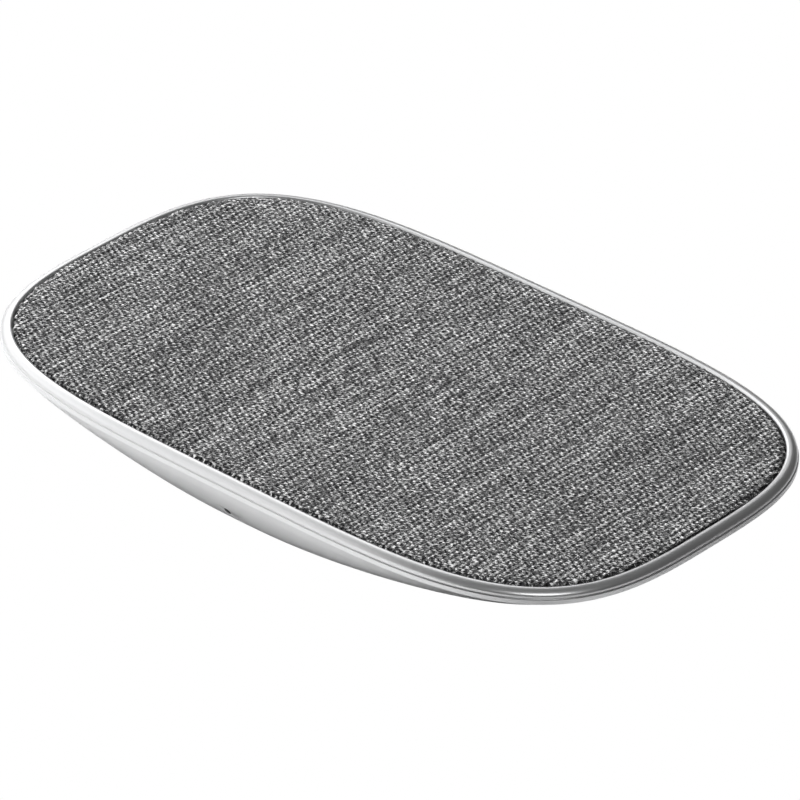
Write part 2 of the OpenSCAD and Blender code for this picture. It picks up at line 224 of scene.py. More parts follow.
class Wire:
    """A node's socket that takes part in Python arithmetic."""

    def __init__(self, graph, socket):
        self.graph = graph
        self.socket = socket

    def math(self, operation, *values):
        return self.graph.add("ShaderNodeMath", {"operation": operation}, values)[0]

    def __add__(self, other):
        return self.math("ADD", self, other)

    def __sub__(self, other):
        return self.math("SUBTRACT", self, other)

    def __rsub__(self, other):
        return self.math("SUBTRACT", other, self)

    def __mul__(self, other):
        return self.math("MULTIPLY", self, other)

    def __truediv__(self, other):
        return self.math("DIVIDE", self, other)

    def __rtruediv__(self, other):
        return self.math("DIVIDE", other, self)

    def __pow__(self, other):
        return self.math("POWER", self, other)

    def __neg__(self):
        return self.math("MULTIPLY", self, -1.0)

    def __abs__(self):
        return self.math("ABSOLUTE", self)

    __radd__ = __add__
    __rmul__ = __mul__


class Graph:
    """A node tree, with one method that adds any node."""

    def __init__(self, tree):
        self.tree = tree

    def add(self, kind, settings=None, values=()):
        """Adds a node, sets it up and links or fills its inputs; returns its outputs in order."""
        node = self.tree.nodes.new(kind)
        settings = dict(settings or {})
        stops = settings.pop("stops", ())
        for name, value in settings.items():
            setattr(node, name, value)
        for i, (place, shade) in enumerate(stops):
            ramp = node.color_ramp.elements
            stop = ramp[i] if i < len(ramp) else ramp.new(place)
            stop.position = place
            stop.color = (shade, shade, shade, 1.0)
        pairs = values.items() if isinstance(values, dict) else enumerate(values)
        for key, value in pairs:
            if isinstance(value, Wire):
                self.tree.links.new(value.socket, node.inputs[key])
            else:
                node.inputs[key].default_value = value
        return [Wire(self, socket) for socket in node.outputs]

    def math(self, operation, *values):
        return self.add("ShaderNodeMath", {"operation": operation}, values)[0]

    def ramp(self, value, stops, interpolation="LINEAR"):
        outputs = self.add("ShaderNodeValToRGB", {"stops": stops}, {0: value})
        outputs[0].socket.node.color_ramp.interpolation = interpolation
        return outputs[0]

    def vector(self, x=0.0, y=0.0, z=0.0):
        return self.add("ShaderNodeCombineXYZ", None, (x, y, z))[0]

    def split(self, vector):
        return self.add("ShaderNodeSeparateXYZ", None, (vector,))

    def mix_colour(self, factor, a, b):
        return self.add("ShaderNodeMix", {"data_type": "RGBA"}, {0: factor, 6: a, 7: b})[2]

    def noise(self, vector, scale, detail=2.0, roughness=0.5):
        values = {"Vector": vector, "Scale": scale, "Detail": detail, "Roughness": roughness}
        return self.add("ShaderNodeTexNoise", None, values)[0]

    def place(self, scale=(1.0, 1.0, 1.0), turn=0.0):
        """Object coordinates, turned about Z and scaled."""
        spot = self.add("ShaderNodeTexCoord")[3]
        turned = self.add("ShaderNodeMapping", None, {"Vector": spot, "Rotation": (0.0, 0.0, turn)})[0]
        return self.add("ShaderNodeMapping", None, {"Vector": turned, "Scale": scale})[0]

    def blotches(self, lengths, detail, turn=0.0, roughness=0.5):
        """Noise whose blotches have the given lengths along X, Y and Z, after a turn about Z."""
        scale = tuple(1 / length for length in lengths)
        return self.noise(self.place(scale, turn), 1.0, detail, roughness)

    def bump(self, height, distance, strength=1.0):
        values = {"Strength": strength, "Distance": distance, "Height": height}
        return self.add("ShaderNodeBump", None, values)[0]


def rgba(shade):
    return (shade[0], shade[1], shade[2], 1.0)


def finish_of(name, build):
    """A material whose Principled sockets are what build returns for its graph."""
    made = bpy.data.materials.new(name)
    made.use_nodes = True
    graph = Graph(made.node_tree)
    shader = made.node_tree.nodes["Principled BSDF"]
    for key, value in build(graph).items():
        if isinstance(value, Wire):
            made.node_tree.links.new(value.socket, shader.inputs[key])
        else:
            shader.inputs[key].default_value = value
    return made


def satin_aluminium(shade):
    """Bead-blasted and anodised metal, with a faint grain and slight wear of its gloss."""

    def build(graph):
        grain = graph.noise(graph.place(), 9000.0, 3.0, 0.6)
        cloud = graph.noise(graph.place(), 60.0, 3.0)
        tone = graph.mix_colour(0.25 + 0.5 * cloud, rgba([c * 0.97 for c in shade]), rgba(shade))
        return {
            "Base Color": tone,
            "Metallic": 1.0,
            "Roughness": 0.26 + 0.07 * grain + 0.03 * cloud,
            "Normal": graph.bump(grain, 0.006 * MM),
        }

    return finish_of("satin_aluminium", build)


def melange_yarn(name, light, dark, turn, lift):
    """Spun yarn of mixed light and dark fibres, with painted shade that darkens it low down between the
    yarns' tops; turn is the fibres' direction, lift a shift of its tone.
    """

    def build(graph):
        fibres = graph.blotches((FIBRE_LENGTH, FIBRE_WIDTH, FIBRE_DEPTH), 2.0, turn, 0.65)
        stitch = graph.blotches(STITCH_SIZE, 1.0)
        rows = graph.blotches(ROW_SIZE, 2.0)
        picks = graph.blotches(PICK_SIZE, 2.0)
        patches = graph.noise(graph.place(), 90.0, 2.0)
        mixed = 5.4 * fibres + 0.2 * stitch + 0.9 * rows + 0.1 * picks + 0.2 * patches - 3.3
        # Painted shade: lighter at the yarns' tops, darker low down between them, measured above the rolled
        # edge's drop
        level = graph.split(graph.place())[2]
        drop = graph.add("ShaderNodeAttribute", {"attribute_name": "drop"})[2]
        painted_gap_shade = (level + drop - (CLOTH_HIGH[2] - PAINTED_SHADE_DEPTH)) / PAINTED_SHADE_SPAN
        painted_gap_shade = graph.math("MINIMUM", graph.math("MAXIMUM", painted_gap_shade, 0.0), 1.0)
        share = MELANGE_CONTRAST * (mixed + 0.4 * painted_gap_shade + lift) - MELANGE_MIDDLE
        tone = graph.ramp(share, ((0.0, 0.0), (0.5, 0.35), (1.0, 1.0)))
        return {
            "Base Color": graph.mix_colour(tone, rgba(dark), rgba(light)),
            "Roughness": 0.82,
            "Sheen Weight": 0.12,
            "Normal": graph.bump(fibres, 0.1 * MM, 0.7),
        }

    return finish_of(name, build)


def dark_ground(dark):
    """The cloth's backing, seen only between the yarns."""

    def build(graph):
        fuzz = graph.noise(graph.place(), 4000.0, 2.0)
        return {
            "Base Color": graph.mix_colour(fuzz, rgba([c * 5 for c in dark]), rgba([c * 12 for c in dark])),
            "Roughness": 0.95,
            "Normal": graph.bump(fuzz, 0.05 * MM),
        }

    return finish_of("cloth_backing", build)


def moulded(name, shade, grain_size, depth, roughness, variation=0.12, metallic=0.0, coat=0.0):
    """A moulded, cast or plated surface with a fine grain."""

    def build(graph):
        grain = graph.noise(graph.place(), 1.0 / grain_size, 3.0, 0.6)
        cloud = graph.noise(graph.place(), 120.0, 2.0)
        low = rgba([c * (1.0 - variation) for c in shade])
        high = rgba([min(1.0, c * (1.0 + variation)) for c in shade])
        return {
            "Base Color": graph.mix_colour(0.5 * grain + 0.5 * cloud, low, high),
            "Roughness": roughness - 0.06 + 0.12 * grain,
            "Metallic": metallic,
            "Coat Weight": coat,
            "Normal": graph.bump(grain, depth),
        }

    return finish_of(name, build)


def studio_paper(shade):
    """The floor: plain white to look at, with painted shade towards one end that only the metal's reflections
    show.
    """

    def build(graph):
        x, y, _ = graph.split(graph.place((10.0, 10.0, 10.0)))
        # Painted shade: the floor darkens towards +X, for the metal's reflections only
        fall = graph.ramp(x + 0.35 * y, PAINTED_MIRROR_SHADES)
        return {"Base Color": graph.mix_colour(fall, (0.0, 0.0, 0.0, 1.0), rgba(shade)), "Roughness": 0.9}

    made = finish_of("studio_paper", build)
    nodes = made.node_tree.nodes
    graph = Graph(made.node_tree)
    glow = graph.add("ShaderNodeEmission", None, {"Color": (1.0, 1.0, 1.0, 1.0), "Strength": 1.0})[0]
    looked_at = graph.add("ShaderNodeLightPath")[0]
    lit = Wire(graph, nodes["Principled BSDF"].outputs[0])
    both = graph.add("ShaderNodeMixShader", None, {0: looked_at, 1: lit, 2: glow})[0]
    made.node_tree.links.new(both.socket, nodes["Material Output"].inputs["Surface"])
    return made


def rubber_foot(shade):
    """Dark rubber with a fine diamond pattern of moulded dimples."""

    def build(graph):
        x, y, _ = graph.split(graph.place((1 / MM, 1 / MM, 1 / MM), math.radians(45)))
        waves = graph.math("SINE", x * math.pi) * graph.math("SINE", y * math.pi)
        dimples = graph.ramp(abs(waves), ((0.15, 0.0), (0.6, 1.0)), "EASE")
        grain = graph.noise(graph.place(), 5000.0, 3.0)
        low, high = rgba([c * 0.8 for c in shade]), rgba([c * 1.4 for c in shade])
        return {
            "Base Color": graph.mix_colour(grain, low, high),
            "Roughness": 0.7 + 0.15 * grain,
            "Normal": graph.bump(dimples + 0.2 * grain, 0.08 * MM, 0.7),
        }

    return finish_of("dark_rubber", build)


def circuit_board():
    """Green solder mask with copper tracks showing faintly through it."""

    def build(graph):
        x, y, _ = graph.split(graph.place((1 / (1.6 * MM), 1 / (1.6 * MM), 1.0)))
        lanes = graph.ramp(abs(graph.math("SINE", x * math.pi)), ((0.80, 0.0), (0.86, 1.0)))
        rungs = graph.ramp(abs(graph.math("SINE", y * math.pi)), ((0.88, 0.0), (0.93, 1.0)))
        area = graph.ramp(graph.noise(graph.place(), 110.0, 0.0), ((0.48, 0.0), (0.52, 1.0)), "CONSTANT")
        tracks = graph.mix_colour(area, lanes, rungs)
        return {
            "Base Color": graph.mix_colour(tracks, (0.006, 0.075, 0.035, 1.0), (0.03, 0.17, 0.07, 1.0)),
            "Roughness": 0.35,
            "Coat Weight": 0.4,
            "Normal": graph.bump(tracks, 0.02 * MM),
        }

    return finish_of("green_board", build)


# ---------------------------------------------------------------- meshes


def power(value, exponent):
    return np.sign(value) * np.abs(value) ** exponent


def outline(a, b, p, q, inset=0.0, points=None):
    """Points of the rounded outline with half sizes a and b, moved in along its normals."""
    count = points or bpy.context.scene.tray_sizes.outline_points
    t = (np.arange(count) + 0.5) * 2 * math.pi / count
    x = a * power(np.cos(t), 2 / p)
    y = b * power(np.sin(t), 2 / q)
    nx = p * power(x / a, p - 1) / a
    ny = q * power(y / b, q - 1) / b
    n = np.hypot(nx, ny)
    return np.column_stack([x - inset * nx / n, y - inset * ny / n])


def ring(points, level):
    return np.column_stack([points, np.full(len(points), level)])


def loft(rings, closed=False):
    """Vertices and faces through rings; capped at both ends, or joined end to end if closed."""
    n = len(rings[0])
    count = len(rings)
    faces = []
    for k in range(count if closed else count - 1):
        low = k * n
        high = (k + 1) % count * n
        for i in range(n):
            j = (i + 1) % n
            faces.append((low + i, low + j, high + j, high + i))
    if not closed:
        faces.append(tuple(reversed(range(n))))
        faces.append(tuple(range((count - 1) * n, count * n)))
    return np.concatenate(rings), faces


def disc_ring(x, y, radius, level, points=48):
    t = np.arange(points) * 2 * math.pi / points
    return np.column_stack([x + radius * np.cos(t), y + radius * np.sin(t), np.full(points, level)])


def tube(x, y, outer, inner, low, high):
    """A short upright tube as a closed loft."""
    rings = [
        disc_ring(x, y, outer, low),
        disc_ring(x, y, outer, high),
        disc_ring(x, y, inner, high),
        disc_ring(x, y, inner, low),
    ]
    return loft(rings, closed=True)


def mesh_object(name, parts, material, sharp=math.radians(35)):
    """One object from several closed parts, its normals outward and its sharp edges marked."""
    built = bmesh.new()
    for points, faces in parts:
        corners = [built.verts.new(Vector(p)) for p in points]
        for face in faces:
            built.faces.new([corners[i] for i in face])
    bmesh.ops.recalc_face_normals(built, faces=built.faces)
    data = bpy.data.meshes.new(name)
    built.to_mesh(data)
    built.free()
    data.shade_smooth()
    data.set_sharp_from_angle(angle=sharp)
    data.materials.append(material)
    made = bpy.data.objects.new(name, data)
    bpy.context.scene.collection.objects.link(made)
    return made


def flatten(made):
    """Turns an object with modifiers into a plain mesh of the same name."""
    graph = bpy.context.evaluated_depsgraph_get()
    data = bpy.data.meshes.new_from_object(made.evaluated_get(graph))
    made.modifiers.clear()
    made.data = data
    return made


def cut(made, cutter):
    """Takes the cutter's volume out of an object."""
    tool = made.modifiers.new("cut", "BOOLEAN")
    tool.operation = "DIFFERENCE"
    tool.solver = "EXACT"
    tool.object = cutter
    flatten(made)
    bpy.data.objects.remove(cutter)


def across(points, low, high):
    """A prism along Y through points (x, z)."""
    rings = [np.column_stack([points[:, 0], np.full(len(points), y), points[:, 1]]) for y in (low, high)]
    return loft(rings)


def stadium(half_width, half_height, points=24):
    """Points (x, z) of a slot with round ends, about its middle."""
    t = (np.arange(points) + 0.5) / points * math.pi - math.pi / 2
    right = np.column_stack([half_width - half_height + half_height * np.cos(t), half_height * np.sin(t)])
    return np.concatenate([right, -right])


def quarter(count):
    """Angles from 0 to 90 degrees in count steps, both ends included."""
    return np.linspace(0.0, math.pi / 2, count + 1)


def set_finish(node, material):
    """Gives a CAD node a finish."""
    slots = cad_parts[node].material_slots
    for slot in slots:
        slot.material = material
    if not slots:
        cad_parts[node].data.materials.append(material)


def adopt(made, slot_name, *nodes):
    """Puts a piece on the frame in place of CAD nodes."""
    if nodes:
        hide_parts(*nodes)
    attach(made, ROOT)


# ---------------------------------------------------------------- operators


class PAD_OT_stage(bpy.types.Operator):
    """Sets up the floor, the lights and the camera"""

    bl_idname = "pad.stage"
    bl_label = "Stage"

    def execute(self, context):
        self.add_camera(context)
        self.add_floor(context)
        self.add_lights(context)
        context.scene.view_settings.view_transform = "Standard"
        return {"FINISHED"}

    def add_camera(self, context):
        stage = context.scene.stage_sizes
        turn, tilt = stage.turn, stage.tilt
        right = Vector((math.cos(turn), math.sin(turn), 0.0))
        ahead = Vector((-math.sin(turn) * math.cos(tilt), math.cos(turn) * math.cos(tilt), -math.sin(tilt)))
        up = right.cross(ahead)
        data = bpy.data.cameras.new("camera")
        data.sensor_width = 36.0
        data.lens = stage.lens
        data.clip_end = 20.0
        camera = bpy.data.objects.new("camera", data)
        middle = Vector((0.0, 0.0, LIP_LEVEL))
        camera.location = middle + stage.aside * right + stage.above * up - stage.distance * ahead
        camera.rotation_euler = ahead.to_track_quat("-Z", "Y").to_euler()
        context.scene.collection.objects.link(camera)
        context.scene.camera = camera

    def add_floor(self, context):
        half = FLOOR_HALF
        corners = [(-half, -half), (half, -half), (half, half), (-half, half)]
        data = bpy.data.meshes.new("floor")
        level = FLOOR_LEVEL - FLOOR_GAP
        data.from_pydata([(x, y, level) for x, y in corners], [], [(0, 1, 2, 3)])
        paper = studio_paper(context.scene.finishes.floor)
        data.materials.append(paper)
        floor = bpy.data.objects.new("floor", data)
        context.scene.collection.objects.link(floor)

    def add_lights(self, context):
        world = bpy.data.worlds.new("studio")
        world.use_nodes = True
        graph = Graph(world.node_tree)
        looked_at = graph.add("ShaderNodeLightPath")[0]
        backdrop = world.node_tree.nodes["Background"]
        backdrop.inputs["Color"].default_value = (1.0, 1.0, 1.0, 1.0)
        strength = graph.math("MAXIMUM", looked_at, WORLD_STRENGTH)
        world.node_tree.links.new(strength.socket, backdrop.inputs["Strength"])
        context.scene.world = world
        for name, spot, wide, high, watts, lights_matt, mirrored in STUDIO_LIGHTS:
            data = bpy.data.lights.new(name, "AREA")
            data.shape = "RECTANGLE"
            data.size = wide
            data.size_y = high
            data.energy = watts
            lamp = bpy.data.objects.new(name, data)
            lamp.location = spot
            lamp.rotation_euler = (-Vector(spot)).to_track_quat("-Z", "Y").to_euler()
            lamp.visible_camera = False
            lamp.visible_glossy = mirrored
            lamp.visible_diffuse = lights_matt
            context.scene.collection.objects.link(lamp)


class PAD_OT_tray(bpy.types.Operator):
    """Builds the metal tray, with its bead, sloping hull, recess and cavity"""

    bl_idname = "pad.tray"
    bl_label = "Tray"

    def execute(self, context):
        tray = context.scene.tray_sizes
        finish = satin_aluminium(context.scene.finishes.metal)
        made = mesh_object("tray", [loft(self.rings(tray))], finish, TRAY_SHARP_ANGLE)
        cut(made, self.light_bore(tray, finish))
        cut(made, self.inlet_opening(finish))
        posts = mesh_object("tray_posts", self.posts(tray), finish)
        self.merge(made, posts)
        adopt(made, "satin_aluminium", "metal_shell")
        return {"FINISHED"}

    def merge(self, made, extra):
        both = bmesh.new()
        both.from_mesh(made.data)
        both.from_mesh(extra.data)
        both.to_mesh(made.data)
        both.free()
        bpy.data.objects.remove(extra)

    def rings(self, tray):
        half_l, half_w = SHELL_HIGH[0], SHELL_HIGH[1]
        p, q, base = tray.end_squareness, tray.side_squareness, tray.base_squareness
        crease = LIP_LEVEL - tray.bead_height
        band = crease - tray.band_height
        hull = band - UNDERSIDE_LEVEL
        recess = UNDERSIDE_LEVEL + tray.recess_depth
        floor = recess + tray.floor_thickness
        ledge = PLATE_HIGH[2] - LEDGE_DROP

        def rim(inset, level):
            return ring(outline(half_l, half_w, p, q, inset), level)

        def under(inset, level):
            a, b = half_l - tray.end_slope, half_w - tray.side_slope
            return ring(outline(a, b, base, base, inset), level)

        def hull_ring(angle):
            inwards = 1 - math.cos(angle) ** (2 / tray.hull_bulge)
            down = math.sin(angle) ** (2 / tray.hull_bulge)
            a, b = half_l - tray.end_slope * inwards, half_w - tray.side_slope * inwards
            return ring(outline(a, b, p + (base - p) * inwards, q + (base - q) * inwards), band - hull * down)

        def cavity(u):
            a = half_l - tray.wall_inset - tray.cavity_slope * u
            b = half_w - tray.wall_inset - CAVITY_SIDE_SLOPE * u
            end_squareness = p + (CAVITY_END_SQUARENESS - p) * u
            side_squareness = q + (CAVITY_SIDE_SQUARENESS - q) * u
            return ring(outline(a, b, end_squareness, side_squareness), ledge + (floor - ledge) * u)

        # From the recess of the foot outwards, up the hull, over the bead and down into the cavity
        rings = [
            under(tray.recess_margin, recess),
            under(tray.recess_margin, UNDERSIDE_LEVEL + RECESS_EDGE),
            under(tray.recess_margin - RECESS_EDGE, UNDERSIDE_LEVEL),
            under(0.5 * MM, UNDERSIDE_LEVEL),
        ]
        crease_angle = math.asin(tray.hull_crease ** (tray.hull_bulge / 2))
        rings += [hull_ring(angle) for angle in np.linspace(math.pi / 2, crease_angle, 24)[1:]]
        rings += [rim(0.0, band), rim(0.0, crease - tray.groove_low)]
        for angle in np.linspace(0.0, math.pi / 2, 20)[:-1]:
            rise = tray.bead_height * math.sin(angle)
            tuck = tray.groove_depth * max(0.0, 1 - rise / tray.groove_high) ** 1.5
            inset = (tray.bead_width - tray.edge_round) * (1 - math.cos(angle))
            rings.append(rim(inset + tuck, crease + rise))
        for angle in quarter(4):
            inset = tray.bead_width - tray.edge_round * (1 - math.sin(angle))
            rings.append(rim(inset, LIP_LEVEL - tray.edge_round * (1 - math.cos(angle))))
        rings += [rim(tray.bead_width, ledge)]
        rings += [cavity(u) for u in (0.0, 0.33, 0.67, 1.0)]
        return rings

    def posts(self, tray):
        """Hollow posts under the top plate and the main board, sunk a little into the tray's floor."""
        low = UNDERSIDE_LEVEL + tray.recess_depth + tray.floor_thickness - POST_SINK
        screw_x, screw_y = SCREWS_HIGH[0] - PLATE_POST_MARGIN, SCREWS_HIGH[1] - PLATE_POST_MARGIN
        board_x, board_y = BOARD_HIGH[0] - BOARD_POST_MARGIN, BOARD_LOW[1] + BOARD_POST_MARGIN
        tubes = []
        for sx in (-1, 1):
            for sy in (-1, 1):
                tubes.append(tube(sx * screw_x, sy * screw_y, *PLATE_POST, low, PLATE_LOW[2]))
        for sx in (-1, 1):
            for y in (board_y, BOARD_BACK_ROW):
                tubes.append(tube(sx * board_x, y, *BOARD_POST, low, BOARD_LOW[2]))
        return tubes

    def light_bore(self, tray, finish):
        radius = tray.light_bore / 2
        t = np.arange(40) * 2 * math.pi / 40
        middle = (LIGHT_LOW[1] - 5 * MM, LIGHT_HIGH[1] + 0.5 * MM)
        x = (LIGHT_LOW[0] + LIGHT_HIGH[0]) / 2
        points = np.column_stack([x + radius * np.cos(t), LIGHT_LEVEL + radius * np.sin(t)])
        return mesh_object("light_bore", [across(points, *middle)], finish)

    def inlet_opening(self, finish):
        points = stadium(INLET_HALF_WIDTH, INLET_HALF_HEIGHT)
        points[:, 1] += (INLET_LOW[2] + INLET_HIGH[2]) / 2
        opening = across(points, INLET_LOW[1] + 2 * MM, SHELL_HIGH[1] + MM)
        return mesh_object("inlet_opening", [opening], finish)


class PAD_OT_cloth(bpy.types.Operator):
    """Weaves the melange cloth over its backing"""

    bl_idname = "pad.cloth"
    bl_label = "Cloth"

    def execute(self, context):
        looks = context.scene.finishes
        backing = self.backing(context, dark_ground(looks.yarn_dark))
        tree = yarn_tree()
        light, dark = looks.yarn_light, looks.yarn_dark
        weft_finish = melange_yarn("melange_weft", light, dark, WEFT_FIBRE_TURN, -WARP_LIFT)
        warp_finish = melange_yarn("melange_warp", light, dark, WARP_FIBRE_TURN, WARP_LIFT)
        weft = self.yarns(context, tree, "weft_yarns", False, weft_finish)
        warp = self.yarns(context, tree, "warp_yarns", True, warp_finish)
        adopt(backing, "melange_cloth", "fabric_cover")
        for piece in (weft, warp):
            adopt(piece, "melange_cloth")
        return {"FINISHED"}

    def backing(self, context, finish):
        """The cloth's body: a thin lid with a rolled edge, under the yarns."""
        tray, cloth = context.scene.tray_sizes, context.scene.cloth_sizes
        p, q = tray.end_squareness, tray.side_squareness
        top = CLOTH_HIGH[2] - cloth.yarn_height
        inner_top = top - 0.2 * MM
        outer = tray.bead_width + cloth.rim_gap + 0.2 * MM
        inner = outer + 0.35 * MM
        roll = 1.1 * cloth.roll

        def rim(inset, level):
            return ring(outline(SHELL_HIGH[0], SHELL_HIGH[1], p, q, inset), level)

        rings = [rim(inner, inner_top), rim(inner, CLOTH_LOW[2]), rim(outer, CLOTH_LOW[2])]
        for angle in quarter(8):
            rings.append(rim(outer + roll * (1 - math.cos(angle)), top - roll * (1 - math.sin(angle))))
        return mesh_object("cloth_backing", [loft(rings)], finish)

    def yarns(self, context, tree, name, along_y, finish):
        tray, cloth = context.scene.tray_sizes, context.scene.cloth_sizes
        inset = tray.bead_width + cloth.rim_gap + 0.15 * MM
        half = [SHELL_HIGH[0] - inset, SHELL_HIGH[1] - inset]
        exponents = [tray.end_squareness * 1.03, tray.side_squareness * 1.03]
        pitches = [cloth.warp_pitch, cloth.weft_pitch]
        if along_y:
            half.reverse()
            exponents.reverse()
            pitches.reverse()
        rows = int(half[1] / pitches[1])
        steps = int((half[0] + 2 * cloth.roll) / pitches[0])
        values = {
            "Rows": 2 * rows + 1,
            "Steps": 2 * steps + 1,
            "Run Pitch": pitches[0],
            "Spread Pitch": pitches[1],
            "Half Run": half[0],
            "Half Spread": half[1],
            "Run Squareness": exponents[0],
            "Spread Squareness": exponents[1],
            "Level": CLOTH_HIGH[2] - cloth.yarn_height / 2 - cloth.wave / 2,
            "Wave": -cloth.wave if along_y else cloth.wave,
            "Wander": cloth.wander,
            "Slub": cloth.slub,
            "Roll": cloth.roll,
            "Drop": cloth.hang,
            "Last Crossing": cloth.last_crossing,
            "Width": (cloth.warp_fullness if along_y else cloth.weft_fullness) * pitches[1],
            "Height": cloth.yarn_height,
            "Turn": math.pi / 2 if along_y else 0.0,
            "Seed": cloth.seed + (31.0 if along_y else 0.0),
            "Finish": finish,
        }
        data = bpy.data.meshes.new(name)
        made = bpy.data.objects.new(name, data)
        context.scene.collection.objects.link(made)
        weave = made.modifiers.new("weave", "NODES")
        weave.node_group = tree
        for socket in tree.interface.items_tree:
            if socket.item_type == "SOCKET" and socket.in_out == "INPUT" and socket.name in values:
                weave[socket.identifier] = values[socket.name]
        return flatten(made)


YARN_INPUTS = (
    ("Rows", "NodeSocketInt"),
    ("Steps", "NodeSocketInt"),
    ("Run Pitch", "NodeSocketFloat"),
    ("Spread Pitch", "NodeSocketFloat"),
    ("Half Run", "NodeSocketFloat"),
    ("Half Spread", "NodeSocketFloat"),
    ("Run Squareness", "NodeSocketFloat"),
    ("Spread Squareness", "NodeSocketFloat"),
    ("Level", "NodeSocketFloat"),
    ("Wave", "NodeSocketFloat"),
    ("Wander", "NodeSocketFloat"),
    ("Slub", "NodeSocketFloat"),
    ("Roll", "NodeSocketFloat"),
    ("Drop", "NodeSocketFloat"),
    ("Last Crossing", "NodeSocketFloat"),
    ("Width", "NodeSocketFloat"),
    ("Height", "NodeSocketFloat"),
    ("Turn", "NodeSocketFloat"),
    ("Seed", "NodeSocketFloat"),
    ("Finish", "NodeSocketMaterial"),
)


def yarn_tree():
    """Geometry Nodes tree of one family of yarns: rows that rise and fall, and roll over the cloth's edge."""
    tree = bpy.data.node_groups.new("woven_yarns", "GeometryNodeTree")
    tree.is_modifier = True
    for name, kind in YARN_INPUTS:
        tree.interface.new_socket(name, in_out="INPUT", socket_type=kind)
    tree.interface.new_socket("Geometry", in_out="OUTPUT", socket_type="NodeSocketGeometry")
    graph = Graph(tree)
    given = {w.socket.name: w for w in graph.add("NodeGroupInput")}
    step, pitch = given["Run Pitch"], given["Spread Pitch"]

    # Straight rows of points, one at each crossing
    half_steps = (given["Steps"] - 1) / 2
    half_rows = (given["Rows"] - 1) / 2
    line = graph.add(
        "GeometryNodeMeshLine", None,
        {0: given["Steps"], 2: graph.vector(-half_steps * step), 3: graph.vector(step)},
    )[0]
    starts = graph.add(
        "GeometryNodeMeshLine", None,
        {0: given["Rows"], 2: graph.vector(0.0, -half_rows * pitch), 3: graph.vector(0.0, pitch)},
    )[0]
    rows = graph.add("GeometryNodeInstanceOnPoints", None, {0: starts, 2: line})[0]
    rows = graph.add("GeometryNodeRealizeInstances", None, {0: rows})[0]

    # How far along the row the outline lets the yarn run, and how near the edge each point is; the last
    # point inside moves out towards the edge, so that the yarn follows the roll
    run, spread, _ = graph.split(graph.add("GeometryNodeInputPosition")[0])
    p, q = given["Run Squareness"], given["Spread Squareness"]
    room = graph.math("MAXIMUM", 1.0 - (abs(spread) / given["Half Spread"]) ** q, 0.0)
    limit = given["Half Run"] * room ** (1.0 / p)
    side = graph.math("SIGN", run)
    beyond = graph.math("MAXIMUM", abs(run) - limit, 0.0)
    hang = graph.math("MINIMUM", beyond, given["Drop"])
    left = graph.math("MAXIMUM", limit - abs(run), 0.0)
    last = graph.math("LESS_THAN", left, step)
    left = last * graph.math("MINIMUM", left, given["Last Crossing"]) + (1.0 - last) * left
    held = limit - left
    u = held / given["Half Run"]
    v = abs(spread) / given["Half Spread"]
    level_set = 1.0 - u ** p - v ** q
    slope_u = p * u ** (p - 1.0) / given["Half Run"]
    slope_v = q * v ** (q - 1.0) / given["Half Spread"]
    slope = graph.math("SQRT", slope_u * slope_u + slope_v * slope_v)
    inset = level_set / graph.math("MAXIMUM", slope, 1e-6)
    roll = given["Roll"]
    short = graph.math("MAXIMUM", roll - graph.math("MAXIMUM", inset, 0.0), 0.0)
    drop = roll - graph.math("SQRT", graph.math("MAXIMUM", roll * roll - short * short, 0.0))

    # The weave's rise and fall, with a slow sideways wander of each yarn
    crossing = graph.math("COSINE", run * math.pi / step) * graph.math("COSINE", spread * math.pi / pitch)
    seed = given["Seed"]
    slow = graph.noise(graph.vector(run * 90.0, spread * 700.0, seed), 1.0, 1.0)
    lumps = graph.noise(graph.vector(run * 260.0, spread * 900.0, seed + 11.0), 1.0, 2.0)
    lift = given["Wave"] * crossing * (0.6 + 0.8 * lumps)
    inner = graph.math("MINIMUM", graph.math("MAXIMUM", inset, 0.0) / (2.0 * roll), 1.0)
    stray = (slow - 0.5) * 2.0 * given["Wander"] * inner
    spot = graph.vector(side * held, spread + stray, given["Level"] + lift - drop - hang)
    outside = graph.math("GREATER_THAN", beyond, 1.01 * graph.math("MAXIMUM", step, given["Drop"]))
    # drop lets the yarns' painted shade be measured from the rolled edge, so that the roll is not darkened
    for label, value in (("girth", 1.0 - given["Slub"] + 2.0 * given["Slub"] * lumps), ("drop", drop + hang)):
        store = {"data_type": "FLOAT", "domain": "POINT"}
        rows = graph.add("GeometryNodeStoreNamedAttribute", store, {0: rows, 2: label, 3: value})[0]
    far = graph.add("GeometryNodeDeleteGeometry", {"domain": "POINT"}, {0: rows, 1: outside})[0]
    moved = graph.add("GeometryNodeSetPosition", None, {0: far, 2: spot})[0]
    turned = graph.add("GeometryNodeTransform", None, {
        "Geometry": moved, "Rotation": graph.vector(0.0, 0.0, given["Turn"]),
    })[0]

    # A three-sided section, flat underneath and shaded round
    curves = graph.add("GeometryNodeMeshToCurve", None, {0: turned})[0]
    curves = graph.add("GeometryNodeSetCurveNormal", {"mode": "Z_UP"}, {0: curves})[0]
    section = graph.add("GeometryNodeCurvePrimitiveCircle", {"mode": "RADIUS"}, {0: 3, "Radius": 0.5})[0]
    section = graph.add("GeometryNodeTransform", None, {
        "Geometry": section,
        "Rotation": (0.0, 0.0, SECTION_TURN),
    })[0]
    section = graph.add("GeometryNodeTransform", None, {
        "Geometry": section,
        "Scale": graph.vector(given["Width"] / 0.866, given["Height"] / 0.75, 1.0),
    })[0]
    girth = graph.add("GeometryNodeInputNamedAttribute", {"data_type": "FLOAT"}, {0: "girth"})[0]
    yarns = graph.add("GeometryNodeCurveToMesh", None, {0: curves, 1: section, 2: girth, 3: True})[0]
    yarns = graph.add("GeometryNodeSetShadeSmooth", None, {0: yarns})[0]
    yarns = graph.add("GeometryNodeRealizeInstances", None, {0: yarns})[0]
    yarns = graph.add("GeometryNodeSetMaterial", None, {"Geometry": yarns, "Material": given["Finish"]})[0]
    graph.add("NodeGroupOutput", None, {0: yarns})
    return tree


